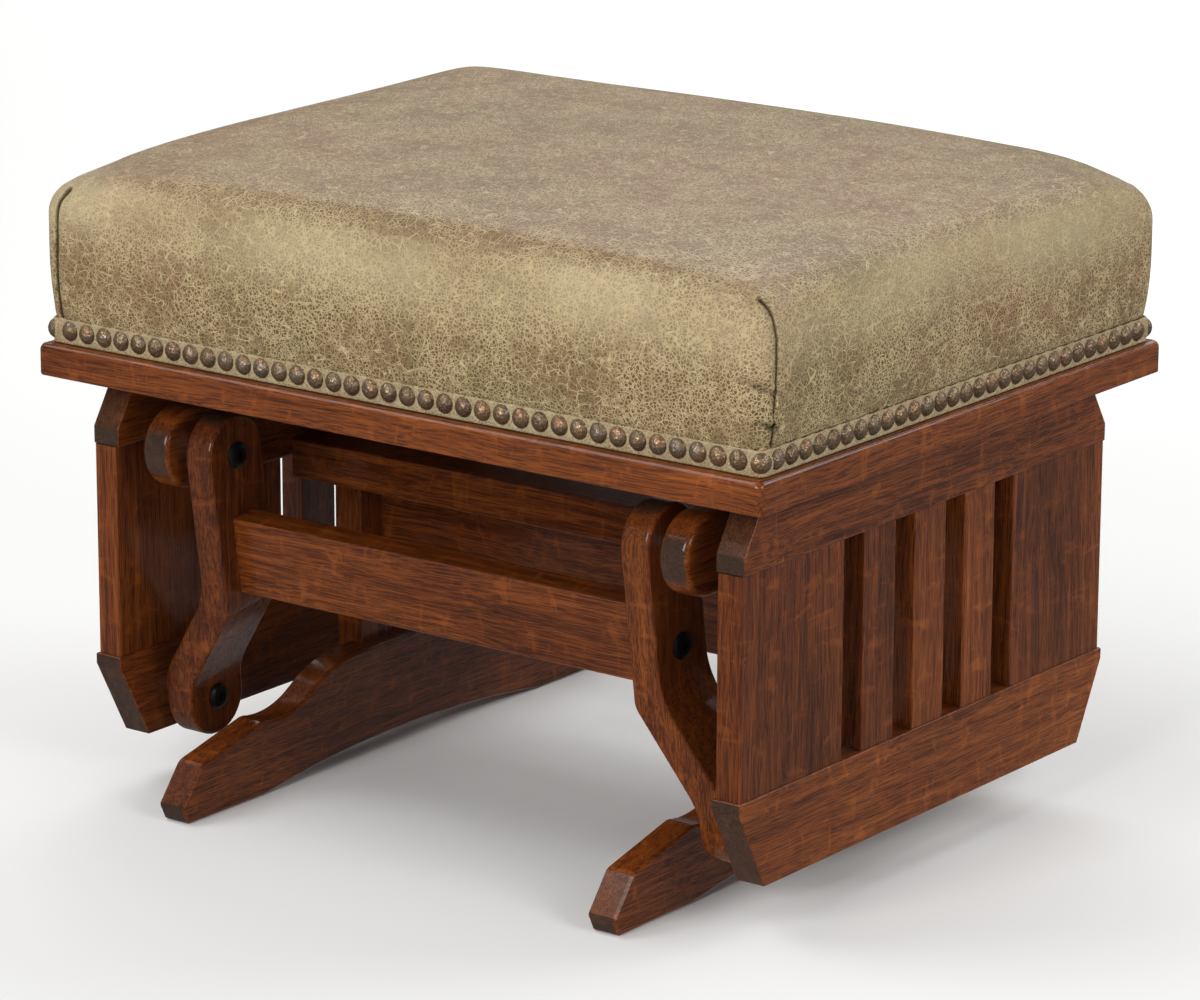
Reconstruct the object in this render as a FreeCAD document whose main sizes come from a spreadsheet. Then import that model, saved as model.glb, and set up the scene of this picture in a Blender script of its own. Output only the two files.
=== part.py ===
"""Glider ottoman: an upholstered footrest whose slatted side panels hang from four S-shaped arms.

Frame: millimetres, +Z up, the front faces -Y, origin on the floor under the middle of the object.
Every driving dimension is a cell of the sheet "sizes". PLACES names the positions that follow from
those cells, and every sketch, pad and placement is bound to them by an expression.

Pieces with a left and a right copy are drawn for the right side and turned half a turn about Z for
the left side.
"""
import FreeCAD, Part
import math
import os
import re
import Sketcher

V = FreeCAD.Vector

SIZES = {
    # Boards
    "board": 20.6,                  # thickness of every main board
    "slat_board": 17.6,             # thickness of the stiles and slats
    "arris": 1.0,                   # rounding of the board edges, if nothing else is named
    # Seat board
    "seat_length": 558.0,           # along X
    "seat_depth": 440.0,            # along Y
    "seat_clearance": 18.6,         # base's upper rails to the seat board's underside
    "seat_corner": 5.0,             # rounding of the vertical corners
    "seat_round": 4.5,              # rounding of the upper edge
    # Upholstered deck, leather band and cushion
    "deck_thickness": 17.6,
    "band_thickness": 2.5,
    "band_inset_side": 5.0,         # seat board's edge to the band's face, left and right
    "band_inset_front": 7.5,        # the same, front and rear
    "band_corner": 6.0,
    "cushion_height": 107.0,        # band's top to the middle of the crown
    "cushion_overhang": 3.5,        # how far the cushion stands out past the band
    "cushion_corner": 17.0,
    "cushion_round": 14.0,          # rounding of the upper edge
    "cushion_tuck": 6.0,            # rounding of the lower edge
    "crown_radius": 3130.0,         # radius of the domed top
    "cushion_gap": 0.3,
    # Upholstery nails
    "nail_pitch": 14.3,             # along the front and the rear
    "side_nail_pitch": 14.1,
    "nail_head": 12.6,
    "nail_dome": 4.0,
    "nail_shank": 2.0,
    "nail_length": 15.0,
    "nail_corner_space": 14.8,      # no nail of a row is nearer to the corner than this
    # Screws that hold the deck on the seat board
    "screw_shank": 4.5,
    "screw_head": 9.0,
    "screw_head_height": 2.2,
    "screw_bite": 12.0,
    "screw_spacing_x": 160.0,
    "screw_spacing_y": 280.0,
    # Side panels
    "panel_inset": 26.4,            # seat board's edge to the rails' outer face
    "panel_half": 198.5,            # middle of the panel to the stiles' outer edge
    "top_rail_height": 45.1,
    "top_rail_setback": 0.5,        # stile's outer edge to the rail's end
    "top_rail_clip": 20.6,          # how far each upper corner is cut back
    "top_rail_end": 11.5,           # height of the square part of the end
    "lower_rail_bottom": 34.3,
    "lower_rail_height": 57.5,
    "lower_rail_overhang": 2.1,     # how far the rail's end stands out past the stile
    "lower_rail_clip": 26.6,
    "lower_rail_end": 6.8,
    "stile_width": 105.5,
    "slat_width": 34.0,
    "slat_spacing": 55.0,
    # Swing arms
    "top_pivot_half": 168.5,        # half the distance from front to rear pivot
    "top_pivot_height": 231.0,
    "low_pivot_inset": 57.6,        # lower rail's end to the pivot
    "low_pivot_height": 58.5,
    "arm_width": 51.0,
    "arm_edge": 2.5,
    "arm_jog": 41.2,                # how far the lower leg stands outboard of the upper leg
    "arm_slope": 34.0,              # degrees between the slanted web and the legs
    "arm_web": 21.9,                # thickness of the slanted web
    "arm_bend": 126.0,              # top pivot to the middle of the web, along the arm
    "arm_kink": 15.0,               # inner surface, upper bend
    "arm_sweep_inner": 40.0,        # inner surface, lower bend
    "arm_sweep_outer": 50.0,        # outer surface, upper bend
    "arm_bend_outer": 37.0,         # outer surface, lower bend
    "stretcher_height": 51.0,
    "stretcher_edge": 2.0,
    "stretcher_drop": 65.3,         # top pivot to the stretcher's middle, along the arm
    # Pivots
    "pivot_gap": 11.0,              # arm to rail, filled by the bearing's collar
    "end_play": 0.3,
    "pivot_bolt": 8.0,
    "running_clearance": 0.05,
    "open_clearance": 1.75,         # around the bolt of the rear lower pivots
    "fit_clearance": 0.02,
    "sleeve_diameter": 16.0,
    "collar_diameter": 22.0,
    "bolt_head": 17.0,
    "bolt_head_height": 3.0,
    "bolt_head_rim": 0.8,
    "bolt_head_flat": 5.0,          # radius of the flat on top of the head
    "bolt_head_dome": 5.0,
    "bolt_bite": 17.0,              # length of the pivot bolt in the rail
    "socket_width": 5.0,
    "socket_depth": 1.8,
    "stretcher_bolt": 6.0,
    "stretcher_bolt_bite": 45.0,
    "bolt_hole_clearance": 0.25,
    # Base
    "foot_half": 225.3,
    "foot_edge": 1.6,
    "foot_tip_height": 11.4,
    "foot_toe_back": 5.6,           # how far the toe's underside stands behind its tip
    "foot_clip": 19.3,              # length of the clip from the tip to the upper face
    "foot_clip_height": 36.0,
    "foot_shoulder": 146.0,
    "foot_dip": 131.0,
    "foot_dip_height": 48.2,
    "foot_dip_radius": 60.0,
    "foot_crest": 47.0,             # half the length of the flat on top
    "foot_height": 73.0,
    "foot_arch": 145.0,
    "foot_arch_rise": 10.5,
    "upright_width": 66.0,
    "upright_lap": 40.0,            # length of the tongue beside the foot
    "upper_rail_height": 51.0,
    "upper_rail_reach": 30.5,       # pivot to the rail's end
    "upper_rail_edge": 4.0,
    "cross_rail_depth": 44.0,
    "cross_rail_height": 25.4,
    "cross_rail_drop": 39.0,        # upper rail's top to cross rail's top
    "centre_board_height": 95.0,
    "centre_board_drop": 52.0,
}

PLACES = {
    # Faces, as distances from the middle plane X = 0
    "panel_outer": "seat_length / 2 - panel_inset",
    "panel_inner": "panel_outer - board",
    "arm_low_outer": "panel_inner - pivot_gap",
    "arm_low_inner": "arm_low_outer - board",
    "arm_top_inner": "arm_low_inner - arm_jog",
    "arm_top_outer": "arm_top_inner + board",
    "base_rail_inner": "arm_top_outer + pivot_gap",
    "upright_inner": "base_rail_inner - board",
    "foot_outer": "base_rail_inner - pivot_gap",
    "foot_inner": "foot_outer - board",
    "band_half_x": "seat_length / 2 - band_inset_side",
    "band_half_y": "seat_depth / 2 - band_inset_front",
    "deck_half_x": "band_half_x - band_thickness",
    "deck_half_y": "band_half_y - band_thickness",
    "deck_corner": "band_corner - band_thickness",
    "cushion_half_x": "band_half_x + cushion_overhang",
    "cushion_half_y": "band_half_y + cushion_overhang",
    # Distances from the middle plane Y = 0
    "top_rail_half": "panel_half - top_rail_setback",
    "lower_rail_half": "panel_half + lower_rail_overhang",
    "low_pivot_half": "lower_rail_half - low_pivot_inset",
    "upper_rail_half": "top_pivot_half + upper_rail_reach",
    # Heights
    "seat_underside": "base_rail_top + seat_clearance",
    "seat_top": "seat_underside + board",
    "deck_top": "seat_top + deck_thickness",
    "nail_height": "seat_top + deck_thickness / 2",
    "cushion_bottom": "deck_top + cushion_gap",
    "cushion_top": "deck_top + cushion_height",
    "top_rail_bottom": "seat_underside - top_rail_height",
    "lower_rail_top": "lower_rail_bottom + lower_rail_height",
    "base_rail_top": "top_pivot_height + upper_rail_height / 2",
    # Swing arms: the arm lies along the line between its two pivots
    "arm_length": "hypot(top_pivot_half - low_pivot_half; top_pivot_height - low_pivot_height)",
    "arm_lean": "atan2(top_pivot_half - low_pivot_half; top_pivot_height - low_pivot_height)",
    "arm_end": "arm_width / 2",
    "web_rise": "arm_web / 2 / sin(arm_slope)",
    "web_near": "(arm_jog - board) / 2 / tan(arm_slope)",
    "web_far": "(arm_jog + board) / 2 / tan(arm_slope)",
    # Upper curve of the foot: a hollow arc about (foot_dip, dip_centre), then a rounded crest
    "dip_centre": "foot_dip_height + foot_dip_radius",
    "dip_run": "foot_dip - foot_crest",
    "crest_radius": "(dip_run ^ 2 + (dip_centre - foot_height) ^ 2 - foot_dip_radius ^ 2)"
                    " / (2 * (foot_height - foot_dip_height))",
    "dip_share": "foot_dip_radius / (foot_dip_radius + crest_radius)",
    "turn_y": "foot_dip - dip_run * dip_share",
    "turn_z": "dip_centre - (dip_centre - foot_height + crest_radius) * dip_share",
    "shoulder_z": "dip_centre - sqrt(foot_dip_radius ^ 2 - (foot_shoulder - foot_dip) ^ 2)",
    "arch_radius": "(foot_arch ^ 2 + foot_arch_rise ^ 2) / (2 * foot_arch_rise)",
}

SIDES = {"right": (1, 0), "left": (-1, 180)}      # sign of X, turn about Z
ENDS = {"front": -1, "rear": 1}                   # sign of Y

doc = FreeCAD.newDocument("glider_ottoman")
sheet = doc.addObject("Spreadsheet::Sheet", "sizes")
for row, (word, number) in enumerate(SIZES.items(), 1):
    sheet.set(f"A{row}", word)
    sheet.set(f"B{row}", str(number))
    sheet.setAlias(f"B{row}", word)
doc.recompute()

nodes = []


def full(text):
    """The expression with every place written out and every size read from the sheet."""
    def swap(match):
        word = match.group()
        if word in PLACES:
            return f"({full(PLACES[word])})"
        return f"sizes.{word}" if word in SIZES else word
    return re.sub(r"[a-z]\w*", swap, text)


def value(text):
    """The number that the expression gives for the sheet's present cells."""
    return float(sheet.evalExpression(full(text)))


def bind(item, prop, text):
    item.setExpression(prop, full(text))


def place(item, x="0", y="0", z="0", turn="0", tilt="0"):
    """Tilt about X, then turn about Z, then move."""
    bind(item, "Placement", f"placement(vector({x}; {y}; {z}); rotation({turn}; 0; {tilt}))")


def keep(item):
    """Count this object as a node of the model."""
    nodes.append(item)
    return item


def body(name):
    made = doc.addObject("PartDesign::Body", name)
    made.Label = name
    return made


# Sketches --------------------------------------------------------------------------------------

def origin_part(owner, role):
    return next(item for item in owner.Origin.OriginFeatures if item.Role == role)


def new_sketch(owner, plane, lift="0"):
    made = owner.newObject("Sketcher::SketchObject", f"{owner.Name}_sketch")
    made.AttachmentSupport = [(origin_part(owner, plane), "")]
    made.MapMode = "FlatFace"
    bind(made, "AttachmentOffset.Base.z", lift)
    return made


def bound(sketch, kind, *geometry, text):
    number = sketch.addConstraint(Sketcher.Constraint(kind, *geometry, value(text)))
    bind(sketch, f"Constraints[{number}]", text)


def pin(sketch, geometry, point, corner):
    """Hold a point of the sketch at two bound coordinates."""
    bound(sketch, "DistanceX", -1, 1, geometry, point, text=corner[0])
    bound(sketch, "DistanceY", -1, 1, geometry, point, text=corner[1])


def arc_between(start, finish, radius, turn):
    """The shorter arc from start to finish, to the left for turn 1 and to the right for -1."""
    chord = finish - start
    half = chord.Length / 2
    across = V(-chord.y, chord.x, 0).normalize() * turn
    centre = start + chord * 0.5 + across * math.sqrt(max(radius ** 2 - half ** 2, 0))
    middle = centre + (start + chord * 0.5 - across * 1e-6 - centre).normalize() * radius
    return Part.Arc(start, middle, finish)


def loop(sketch, corners):
    """A closed outline. A corner is (across, up), or (across, up, radius, turn) where an arc
    leads to the next corner."""
    first = sketch.GeometryCount
    count = len(corners)
    points = [V(value(corner[0]), value(corner[1]), 0) for corner in corners]
    starts = []
    for index, corner in enumerate(corners):
        start, finish = points[index], points[(index + 1) % count]
        if len(corner) == 2:
            shape = Part.LineSegment(start, finish)
        else:
            shape = arc_between(start, finish, value(corner[2]), corner[3])
        number = sketch.addGeometry(shape, False)
        starts.append(1 if sketch.getPoint(number, 1).distanceToPoint(start) < 1e-6 else 2)
    for index, corner in enumerate(corners):
        number, before = first + index, (index - 1) % count
        sketch.addConstraint(Sketcher.Constraint(
            "Coincident", first + before, 3 - starts[before], number, starts[index]))
        pin(sketch, number, starts[index], corner)
        if len(corner) == 4:
            bound(sketch, "Radius", number, text=corner[2])


def circle(sketch, across, up, radius):
    centre = V(value(across), value(up), 0)
    number = sketch.addGeometry(Part.Circle(centre, V(0, 0, 1), value(radius)), False)
    pin(sketch, number, 3, (across, up))
    bound(sketch, "Radius", number, text=radius)


def rectangle(low_x, low_y, high_x, high_y):
    return [(low_x, low_y), (high_x, low_y), (high_x, high_y), (low_x, high_y)]


def rounded_rectangle(half_x, half_y, radius):
    x, y = f"{half_x} - {radius}", f"{half_y} - {radius}"
    return [
        (f"-({x})", f"-{half_y}"), (x, f"-{half_y}", radius, 1),
        (half_x, f"-({y})"), (half_x, y, radius, 1),
        (x, half_y), (f"-({x})", half_y, radius, 1),
        (f"-{half_x}", y), (f"-{half_x}", f"-({y})", radius, 1),
    ]


def round_ended(half_across, low, high, radius):
    """A bar along the first axis with full-round ends: each end is two quarter arcs."""
    middle = f"({low} + {high}) / 2"
    flat = f"{half_across} - {radius}"
    return [
        (f"-({flat})", low), (flat, low, radius, 1),
        (half_across, middle, radius, 1), (flat, high),
        (f"-({flat})", high, radius, 1), (f"-{half_across}", middle, radius, 1),
    ]


# Features --------------------------------------------------------------------------------------

def checked(feature):
    """Recompute and refuse a feature that failed."""
    doc.recompute()
    if "Invalid" in feature.State or "Error" in feature.State or feature.Shape.isNull():
        raise RuntimeError(f"{feature.Label}: {feature.State}")
    return feature


def pad(owner, sketch, length, symmetric=False):
    made = owner.newObject("PartDesign::Pad", f"{owner.Name}_pad")
    made.Profile = sketch
    made.SideType = "Symmetric" if symmetric else "One side"
    bind(made, "Length", length)
    return checked(made)


def cut(owner, sketch, length, symmetric=False, forward=False, may_miss=False):
    """A pocket against the sketch's normal, or along it where forward."""
    before = owner.Shape.Volume
    made = owner.newObject("PartDesign::Pocket", f"{owner.Name}_pocket")
    made.Profile = sketch
    made.SideType = "Symmetric" if symmetric else "One side"
    made.Reversed = forward
    bind(made, "Length", length)
    checked(made)
    if made.Shape.Volume > before - 1e-3 and not may_miss:
        raise RuntimeError(f"{made.Label} cuts nothing")
    return made


def spin(owner, sketch, axis, kind="PartDesign::Revolution"):
    made = owner.newObject(kind, f"{owner.Name}_turned")
    made.Profile = sketch
    made.ReferenceAxis = (sketch, [axis])
    made.Angle = 360
    return checked(made)


def is_sharp(shape, edge):
    faces = shape.ancestorsOfType(edge, Part.Face)
    if len(faces) != 2:
        return False
    point = edge.valueAt((edge.FirstParameter + edge.LastParameter) / 2)
    normals = [face.normalAt(*face.Surface.parameter(point)) for face in faces]
    return normals[0].getAngle(normals[1]) > math.radians(15)


def along(axis):
    """A test for straight edges parallel to an axis."""
    def test(edge):
        if edge.Curve.TypeId != "Part::GeomLine":
            return False
        return abs(edge.tangentAt(edge.FirstParameter).dot(axis)) > 0.999
    return test


def sharp_edges(owner, test):
    """The sharp edges of the body that pass the test, as a feature's base."""
    shape = owner.Tip.Shape
    names = [
        f"Edge{number}" for number, edge in enumerate(shape.Edges, 1)
        if is_sharp(shape, edge) and (test is None or test(edge))
    ]
    return owner.Tip, names


def round_edges(owner, radius, test=None):
    base = sharp_edges(owner, test)
    made = owner.newObject("PartDesign::Fillet", f"{owner.Name}_rounding")
    made.Base = base
    bind(made, "Radius", radius)
    return checked(made)


def bevel_edges(owner, size, test=None):
    base = sharp_edges(owner, test)
    made = owner.newObject("PartDesign::Chamfer", f"{owner.Name}_bevel")
    made.Base = base
    bind(made, "Size", size)
    return checked(made)


# Base ------------------------------------------------------------------------------------------

def foot(side, sign, turn):
    """A sled foot: two toes, a shallow arch under it and a hollow curve up to its crest."""
    made = body(f"foot_{side}")
    sketch = new_sketch(made, "YZ_Plane")
    half = [
        ("foot_arch", "0"),
        ("foot_half - foot_toe_back", "0"),
        ("foot_half", "foot_tip_height"),
        ("foot_half - foot_clip", "foot_clip_height"),
        ("foot_shoulder", "shoulder_z", "foot_dip_radius", -1),
        ("turn_y", "turn_z", "crest_radius", 1),
    ]
    other = [(f"-({corner[0]})", corner[1]) for corner in reversed(half)]
    other[0] += ("foot_dip_radius", -1)
    other.insert(0, ("-foot_crest", "foot_height", "crest_radius", 1))
    other[-1] += ("arch_radius", -1)
    loop(sketch, half + [("foot_crest", "foot_height")] + other)
    pad(made, sketch, "board")
    bevel_edges(made, "foot_edge")
    place(made, f"{sign} * foot_inner", turn=str(turn))
    return keep(made)


def upright(side, sign, turn):
    """A post that stands on the foot, with a lapped tongue down the foot's outer face."""
    made = body(f"upright_{side}")
    sketch = new_sketch(made, "XZ_Plane")
    loop(sketch, [
        ("0", "foot_height"), ("board - pivot_gap", "foot_height"),
        ("board - pivot_gap", "foot_height - upright_lap"), ("board", "foot_height - upright_lap"),
        ("board", "base_rail_top"), ("0", "base_rail_top"),
    ])
    pad(made, sketch, "upright_width", symmetric=True)
    round_edges(made, "arris", along(V(0, 0, 1)))
    place(made, f"{sign} * upright_inner", turn=str(turn))
    return keep(made)


def upper_rail(side, sign, turn):
    """The base's rail with full-round ends. The pivot bolts screw into its inner face."""
    made = body(f"upper_rail_{side}")
    sketch = new_sketch(made, "YZ_Plane")
    loop(sketch, round_ended("upper_rail_half", "base_rail_top - upper_rail_height",
                             "base_rail_top", "upper_rail_height / 2"))
    pad(made, sketch, "board")
    round_edges(made, "upper_rail_edge")
    bolt_holes(made, "top_pivot_half", "top_pivot_height")
    place(made, f"{sign} * base_rail_inner", turn=str(turn))
    return keep(made)


def bolt_holes(owner, half_span, height):
    """The front and rear bolts' holes, from the face at X = 0."""
    sketch = new_sketch(owner, "YZ_Plane")
    for sign in ENDS.values():
        circle(sketch, f"{sign} * {half_span}", height, "pivot_bolt / 2 + fit_clearance")
    cut(owner, sketch, "bolt_bite", forward=True)


def board_across(name, half_x, low_y, high_y, low_z, high_z, edge="arris"):
    """A board between two side pieces, with its long edges eased."""
    made = body(name)
    sketch = new_sketch(made, "YZ_Plane")
    loop(sketch, rectangle(low_y, low_z, high_y, high_z))
    pad(made, sketch, f"2 * {half_x}", symmetric=True)
    round_edges(made, edge, along(V(1, 0, 0)))
    return made


def cross_rail(end, sign):
    made = board_across(f"cross_rail_{end}", "base_rail_inner",
                        "-cross_rail_depth / 2", "cross_rail_depth / 2",
                        "-cross_rail_height", "0")
    place(made, y=f"{sign} * (upright_width + cross_rail_depth) / 2",
          z="base_rail_top - cross_rail_drop")
    return keep(made)


def centre_board():
    made = board_across("centre_board", "upright_inner", "-board / 2", "board / 2",
                        "-centre_board_height", "0")
    place(made, z="base_rail_top - centre_board_drop")
    return keep(made)


# Swing arms and their pivots -------------------------------------------------------------------

def beside(place_x, place_z):
    """A test for the edge along Y at the given place."""
    x, z = value(place_x), value(place_z)
    return lambda edge: (edge.CenterOfMass - V(x, edge.CenterOfMass.y, z)).Length < 0.01


def arm(end, side):
    """An S-shaped arm: two upright legs a jog apart, joined by a slanted web, with full-round
    ends. Its own frame has the top pivot at the origin and the inner face at X = 0."""
    sign, turn = SIDES[side]
    made = body(f"arm_{end}_{side}")
    outline = new_sketch(made, "XZ_Plane")
    bends = {
        "arm_kink": ("0", "-arm_bend + web_far - web_rise"),
        "arm_sweep_outer": ("board", "-arm_bend + web_near + web_rise"),
        "arm_bend_outer": ("arm_jog + board", "-arm_bend - web_far + web_rise"),
        "arm_sweep_inner": ("arm_jog", "-arm_bend - web_near - web_rise"),
    }
    loop(outline, [
        ("0", "arm_end"), bends["arm_kink"], bends["arm_sweep_inner"],
        ("arm_jog", "-(arm_length + arm_end)"), ("arm_jog + board", "-(arm_length + arm_end)"),
        bends["arm_bend_outer"], bends["arm_sweep_outer"], ("board", "arm_end"),
    ])
    pad(made, outline, "arm_width", symmetric=True)
    for radius, corner in bends.items():
        round_edges(made, radius, beside(*corner))
    waste = new_sketch(made, "YZ_Plane")
    loop(waste, rectangle("-arm_width", "-(arm_length + arm_width)", "arm_width", "arm_width"))
    loop(waste, [
        ("-arm_end", "-arm_length", "arm_end", 1), ("0", "-(arm_length + arm_end)", "arm_end", 1),
        ("arm_end", "-arm_length"), ("arm_end", "0", "arm_end", 1),
        ("0", "arm_end", "arm_end", 1), ("-arm_end", "0"),
    ])
    cut(made, waste, "3 * (arm_jog + board)", symmetric=True)
    round_edges(made, "arm_edge")
    bores = new_sketch(made, "YZ_Plane")
    circle(bores, "0", "0", "sleeve_diameter / 2 + fit_clearance")
    circle(bores, "0", "-arm_length", "sleeve_diameter / 2 + fit_clearance")
    circle(bores, "0", "-stretcher_drop", "stretcher_bolt / 2 + bolt_hole_clearance")
    cut(made, bores, "3 * (arm_jog + board)", symmetric=True)
    head_seat(made)
    place(made, f"{sign} * arm_top_inner", f"{ENDS[end]} * top_pivot_half", "top_pivot_height",
          turn=str(turn), tilt=f"{-ENDS[end] * sign} * arm_lean")
    return keep(made)


def head_seat(owner):
    """A flat seat for the lower pivot's bolt head, where the bend reaches down to it."""
    sketch = new_sketch(owner, "YZ_Plane", lift="arm_jog")
    circle(sketch, "0", "-arm_length", "bolt_head / 2 + open_clearance")
    cut(owner, sketch, "arm_jog", may_miss=True)


def stretcher(end, sign):
    """The rail between the two arms of one end, leaning with them."""
    made = board_across(f"stretcher_{end}", "arm_top_inner", "-board / 2", "board / 2",
                        "-stretcher_height / 2", "stretcher_height / 2", "stretcher_edge")
    place(made, y=f"{sign} * (top_pivot_half - stretcher_drop * sin(arm_lean))",
          z="top_pivot_height - stretcher_drop * cos(arm_lean)", tilt=f"{-sign} * arm_lean")
    return keep(made)


def bolt(name, shank, length):
    """A button-head bolt along +X: the head stands on X = 0, with a hexagon socket."""
    made = body(name)
    profile = new_sketch(made, "XZ_Plane")
    loop(profile, [
        ("-bolt_head_height", "0"), (length, "0"), (length, f"{shank} / 2"), ("0", f"{shank} / 2"),
        ("0", "bolt_head / 2"), ("-bolt_head_rim", "bolt_head / 2", "bolt_head_dome", 1),
        ("-bolt_head_height", "bolt_head_flat"),
    ])
    spin(made, profile, "H_Axis")
    socket = new_sketch(made, "YZ_Plane", lift="socket_depth - bolt_head_height")
    corner = "socket_width / 2 / cos(30)"
    loop(socket, [(f"{corner} * cos({angle})", f"{corner} * sin({angle})")
                  for angle in range(0, 360, 60)])
    cut(made, socket, "socket_depth")
    return keep(made)


def bearing(name, bore_clearance):
    """A sleeve pressed through the arm, with a collar that fills the space to the rail."""
    made = body(name)
    profile = new_sketch(made, "XZ_Plane")
    bore, collar = f"pivot_bolt / 2 + {bore_clearance}", "pivot_gap - end_play"
    loop(profile, [
        ("-board", bore), (collar, bore), (collar, "collar_diameter / 2"),
        ("0", "collar_diameter / 2"), ("0", "sleeve_diameter / 2"),
        ("-board", "sleeve_diameter / 2"),
    ])
    spin(made, profile, "H_Axis")
    return keep(made)


def pivots(end, side):
    """The two bearings of an arm, and the bolts that run in them."""
    sign, turn = SIDES[side]
    levels = {
        "upper": ("top_bolt", "arm_top_inner", "top_pivot_half", "top_pivot_height"),
        "lower": ("low_bolt", "arm_low_inner", "low_pivot_half", "low_pivot_height"),
    }
    for level, (bolt_name, face, half_span, height) in levels.items():
        is_open = (end, level) == ("rear", "lower")
        y = f"{ENDS[end]} * {half_span}"
        sleeve = bearing(f"bearing_{level}_{end}_{side}",
                         "open_clearance" if is_open else "running_clearance")
        place(sleeve, f"{sign} * ({face} + board)", y, height, turn=str(turn))
        screw = bolt(f"{bolt_name}_{end}_{side}", "pivot_bolt",
                     "end_play + board + pivot_gap + bolt_bite")
        place(screw, f"{sign} * ({face} - end_play)", y, height, turn=str(turn))


def stretcher_bolt(end, side):
    """A bolt through the arm into the stretcher's end, its head on the arm's outer face."""
    sign, turn = SIDES[side]
    made = bolt(f"stretcher_bolt_{end}_{side}", "stretcher_bolt", "board + stretcher_bolt_bite")
    place(made, f"{sign} * arm_top_outer",
          f"{ENDS[end]} * (top_pivot_half - stretcher_drop * sin(arm_lean))",
          "top_pivot_height - stretcher_drop * cos(arm_lean)", turn=str(turn + 180))


# Side panels -----------------------------------------------------------------------------------

def top_rail(side, sign, turn):
    """The panel's upper rail: its upper corners are cut back under the seat board."""
    made = body(f"top_rail_{side}")
    sketch = new_sketch(made, "YZ_Plane")
    square = "top_rail_bottom + top_rail_end"
    back = "top_rail_half - top_rail_clip"
    loop(sketch, [
        ("-top_rail_half", "top_rail_bottom"), ("top_rail_half", "top_rail_bottom"),
        ("top_rail_half", square), (back, "seat_underside"),
        (f"-({back})", "seat_underside"), ("-top_rail_half", square),
    ])
    pad(made, sketch, "board")
    round_edges(made, "arris", lambda edge: edge.BoundBox.ZMin < value("seat_underside") - 0.01)
    place(made, f"{sign} * panel_inner", turn=str(turn))
    return keep(made)


def lower_rail(side, sign, turn):
    """The panel's lower rail: its lower corners are cut back. The arms' bolts screw into it."""
    made = body(f"lower_rail_{side}")
    sketch = new_sketch(made, "YZ_Plane")
    square = "lower_rail_top - lower_rail_end"
    back = "lower_rail_half - lower_rail_clip"
    loop(sketch, [
        (f"-({back})", "lower_rail_bottom"), (back, "lower_rail_bottom"),
        ("lower_rail_half", square), ("lower_rail_half", "lower_rail_top"),
        ("-lower_rail_half", "lower_rail_top"), ("-lower_rail_half", square),
    ])
    pad(made, sketch, "board")
    round_edges(made, "arris")
    bolt_holes(made, "low_pivot_half", "low_pivot_height")
    place(made, f"{sign} * panel_inner", turn=str(turn))
    return keep(made)


def panel_board(name, sign, turn, width, middle):
    """A stile or slat between the two rails, centred in their thickness."""
    made = body(name)
    sketch = new_sketch(made, "XY_Plane")
    loop(sketch, rectangle("-slat_board / 2", f"-{width} / 2", "slat_board / 2", f"{width} / 2"))
    pad(made, sketch, "top_rail_bottom - lower_rail_top")
    round_edges(made, "arris", along(V(0, 0, 1)))
    place(made, f"{sign} * (panel_inner + board / 2)", middle, "lower_rail_top", turn=str(turn))
    return keep(made)


def side_panel(side, sign, turn):
    top_rail(side, sign, turn)
    lower_rail(side, sign, turn)
    for end, end_sign in ENDS.items():
        panel_board(f"{end}_stile_{side}", sign, turn, "stile_width",
                    f"{end_sign} * (panel_half - stile_width / 2)")
    for name, step in {"front": -1, "middle": 0, "rear": 1}.items():
        panel_board(f"slat_{name}_{side}", sign, turn, "slat_width", f"{step} * slat_spacing")


# Seat ------------------------------------------------------------------------------------------

def screw_places():
    return [(f"{column} * screw_spacing_x", f"{row} * screw_spacing_y / 2")
            for column in (-1, 0, 1) for row in (-1, 1)]


def seat_board():
    made = body("seat_board")
    sketch = new_sketch(made, "XY_Plane")
    loop(sketch, rounded_rectangle("seat_length / 2", "seat_depth / 2", "seat_corner"))
    pad(made, sketch, "board")
    round_edges(made, "seat_round", lambda edge: edge.BoundBox.ZMin > value("board") - 0.01)
    round_edges(made, "arris", lambda edge: edge.BoundBox.ZMax < 0.01)
    holes = new_sketch(made, "XY_Plane")
    for x, y in screw_places():
        circle(holes, x, y, "screw_shank / 2 + bolt_hole_clearance")
    cut(made, holes, "board", forward=True)
    place(made, z="seat_underside")
    return keep(made)


def seat_deck():
    """The upholstered panel that the leather band and its nails are fixed to."""
    made = body("seat_deck")
    sketch = new_sketch(made, "XY_Plane")
    loop(sketch, rounded_rectangle("deck_half_x", "deck_half_y", "deck_corner"))
    pad(made, sketch, "deck_thickness")
    place(made, z="seat_top")
    return keep(made)


def leather_band():
    """The strip around the deck, a closed ring."""
    made = body("leather_band")
    sketch = new_sketch(made, "XY_Plane")
    loop(sketch, rounded_rectangle("band_half_x", "band_half_y", "band_corner"))
    loop(sketch, rounded_rectangle("deck_half_x", "deck_half_y", "deck_corner"))
    pad(made, sketch, "deck_thickness")
    place(made, z="seat_top")
    return keep(made)


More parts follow.
